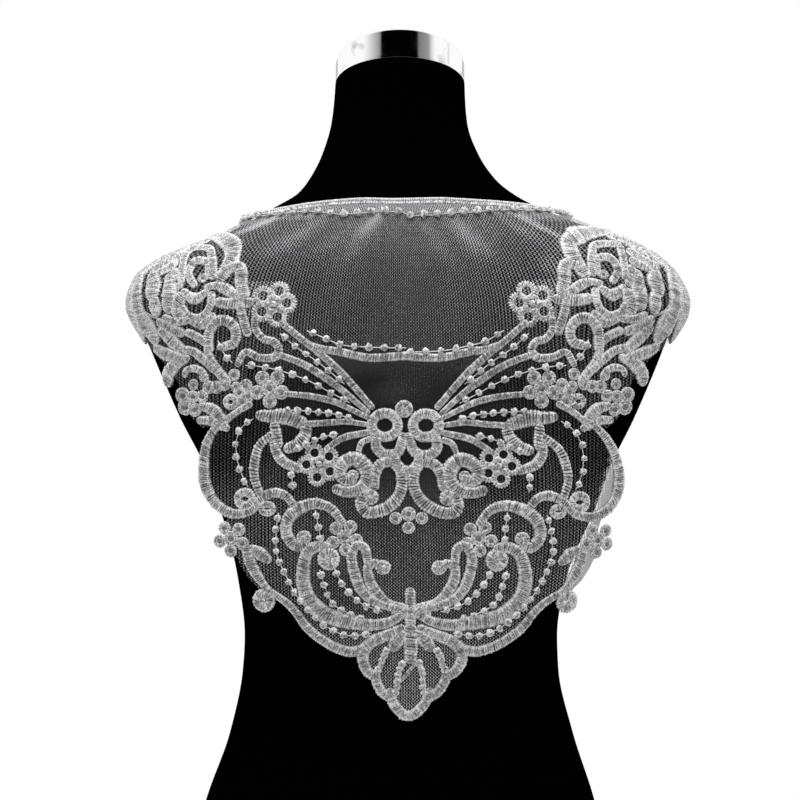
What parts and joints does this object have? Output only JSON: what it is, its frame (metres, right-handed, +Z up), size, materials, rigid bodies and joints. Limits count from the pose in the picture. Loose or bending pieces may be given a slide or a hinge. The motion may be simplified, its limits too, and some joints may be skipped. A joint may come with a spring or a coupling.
{
  "type": "lace collar on a limbless dress form",
  "caption": "Embroidered lace back collar with a beaded neck edge, resting on a smooth limbless dress form with a metal neck cap.",
  "frame": {"origin": "middle of the form's flat foot, on the surface it stands on", "axes": "+Z up, -Y towards the back of the form where the lace hangs down, +X to the right as seen from the back"},
  "size_m": [0.4415, 0.2361, 0.7139],
  "materials": {
    "form": "smooth matt black covering",
    "cap": "polished metal",
    "thread": "white satin stitch embroidery",
    "net": "fine white tulle"
  },
  "bodies": {
    "root": {"form_torso": "form", "form_neck_cap": "cap", "neck_cord": "thread", "lace_bib": "thread", "lace_shoulder_left": "thread", "lace_shoulder_right": "thread", "net_yoke": "net", "net_front": "net"}
  },
  "joints": []
}
